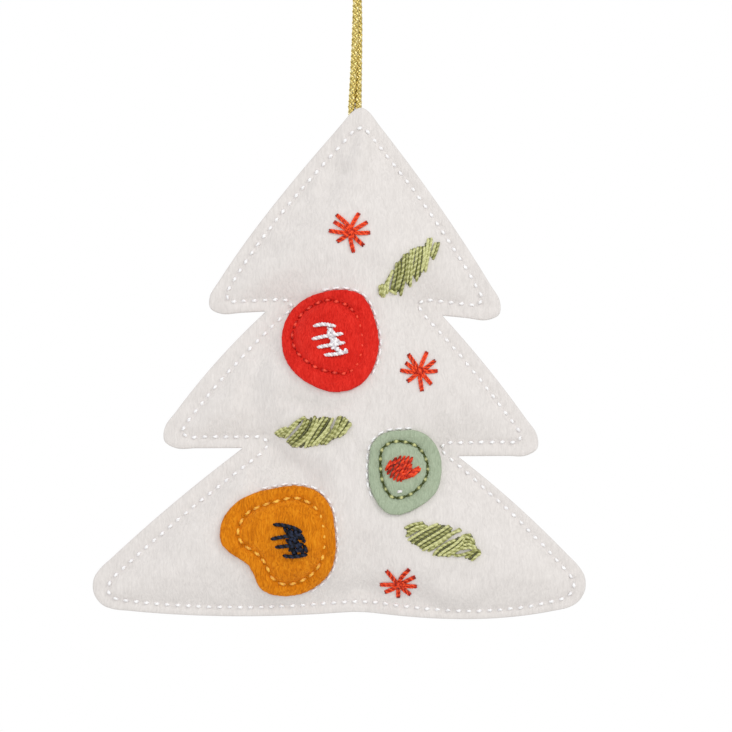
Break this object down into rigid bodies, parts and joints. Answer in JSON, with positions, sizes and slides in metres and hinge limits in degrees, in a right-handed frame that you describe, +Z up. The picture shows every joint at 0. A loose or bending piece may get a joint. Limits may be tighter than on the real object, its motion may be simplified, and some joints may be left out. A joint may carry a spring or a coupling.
{
  "type": "hanging felt tree ornament",
  "caption": "Stuffed white felt tree that hangs on a gold cord loop, with felt flower patches, embroidered leaves and stars, and a sewn edge.",
  "frame": {"origin": "inner crown of the hanging loop, where a hook or a twig carries it", "axes": "+Z up, the front faces -Y, +X to the right as seen from the front"},
  "size_m": [0.1228, 0.0179, 0.2093],
  "materials": {
    "white_felt": "matte",
    "red_felt": "matte",
    "sage_felt": "matte",
    "mustard_felt": "matte",
    "fibre_filling": "matte",
    "white_thread": "satin",
    "red_thread": "satin",
    "olive_thread": "satin",
    "golden_thread": "satin",
    "coral_thread": "satin",
    "navy_thread": "satin",
    "leaf_thread": "satin",
    "gold_cord": "gloss"
  },
  "bodies": {
    "loop": {"hanging_cord": "gold_cord"},
    "tree": {"front_panel": "white_felt", "back_panel": "white_felt", "filling": "fibre_filling", "cord_tails": "gold_cord", "edge_stitch_front": "white_thread", "edge_stitch_back": "white_thread", "red_patch": "red_felt", "green_patch": "sage_felt", "mustard_patch": "mustard_felt", "red_patch_stitch": "red_thread", "green_patch_stitch": "olive_thread", "mustard_patch_stitch": "golden_thread", "white_scribble": "white_thread", "coral_scribble": "coral_thread", "navy_scribble": "navy_thread", "red_placement_stitch": "white_thread", "green_placement_stitch": "white_thread", "mustard_placement_stitch": "white_thread", "leaf_top": "leaf_thread", "leaf_middle": "leaf_thread", "leaf_bottom": "leaf_thread", "star_top": "coral_thread", "star_middle": "coral_thread", "star_bottom": "coral_thread"}
  },
  "joints": [
    {"name": "tree_swing", "type": "hinge", "parent": "loop", "child": "tree", "pos_m": [0, 0, -0.078], "axis": [1, 0, 0], "range_deg": [-90, 90]}
  ]
}
